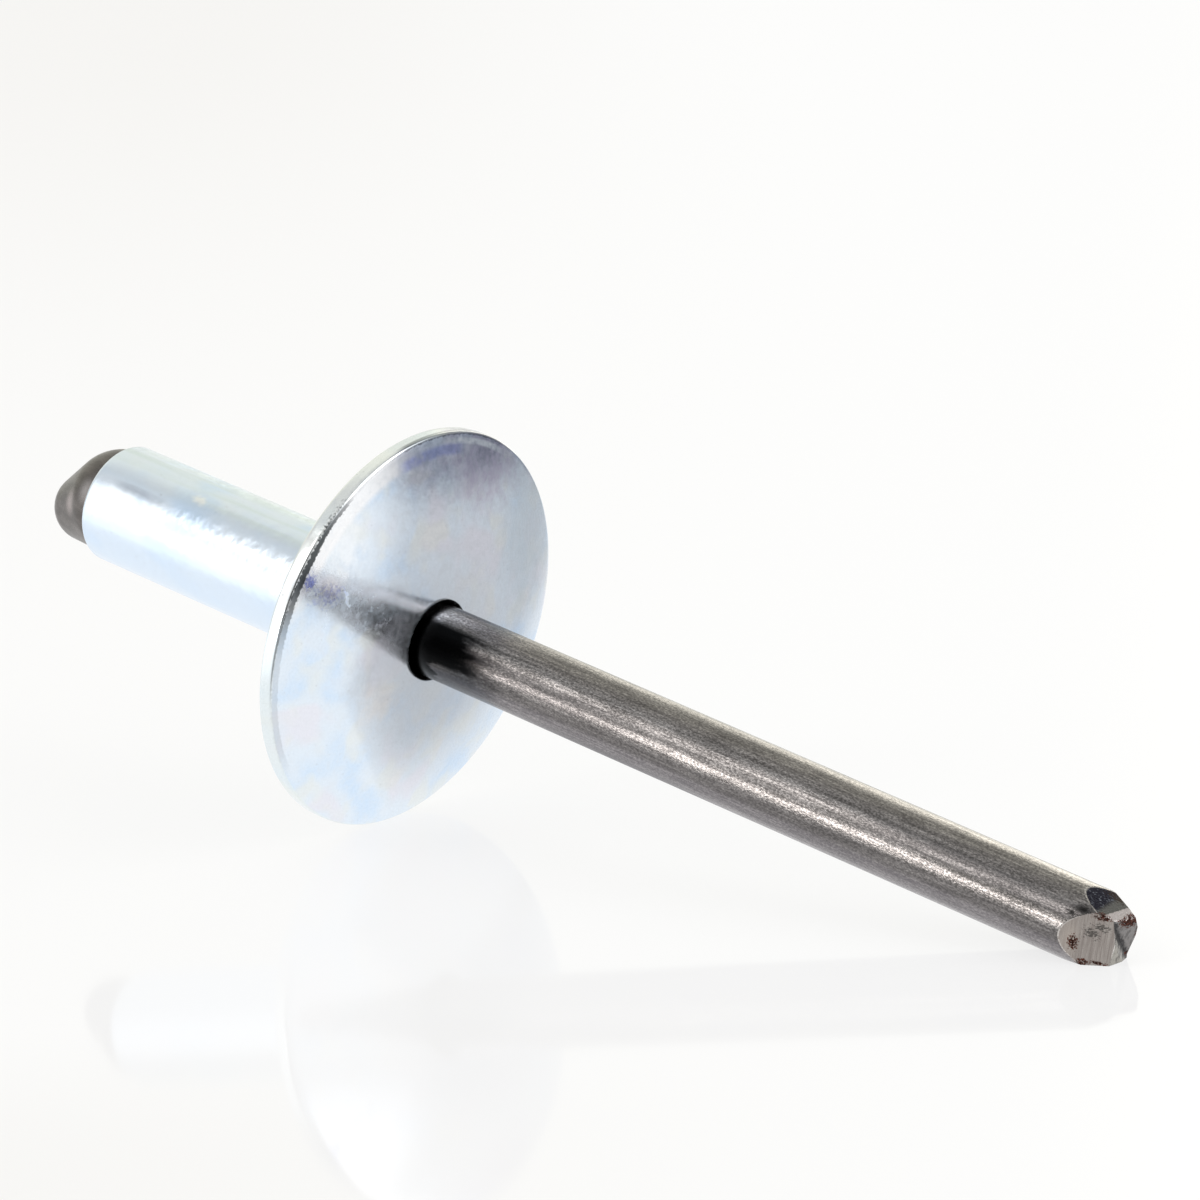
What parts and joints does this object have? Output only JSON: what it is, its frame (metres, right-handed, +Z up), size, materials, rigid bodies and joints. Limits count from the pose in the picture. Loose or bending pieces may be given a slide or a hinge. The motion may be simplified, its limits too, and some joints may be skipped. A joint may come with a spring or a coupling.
{
  "type": "large-flange blind rivet",
  "caption": "Hollow plated steel shank with a wide domed flange, and a long steel pull mandrel through it with a rounded head at one end and a pinch-cut point at the other.",
  "frame": {"origin": "centre of the footprint on the surface that the rivet lies on, z = 0 at the surface", "axes": "+Z up, +X along the rivet as seen from above, from the mandrel's head towards its cut point; the rivet's own axis dips 12.04 degrees below +X"},
  "size_m": [0.0516, 0.016, 0.0157],
  "materials": {
    "zinc_plated_steel": "bright zinc plating with a faint blue passivate, satin",
    "bare_steel_wire": "drawn steel wire, dull, with fine pits and specks of rust at the cut point"
  },
  "bodies": {
    "root": {"rivet_body": "zinc_plated_steel", "mandrel": "bare_steel_wire"}
  },
  "joints": []
}
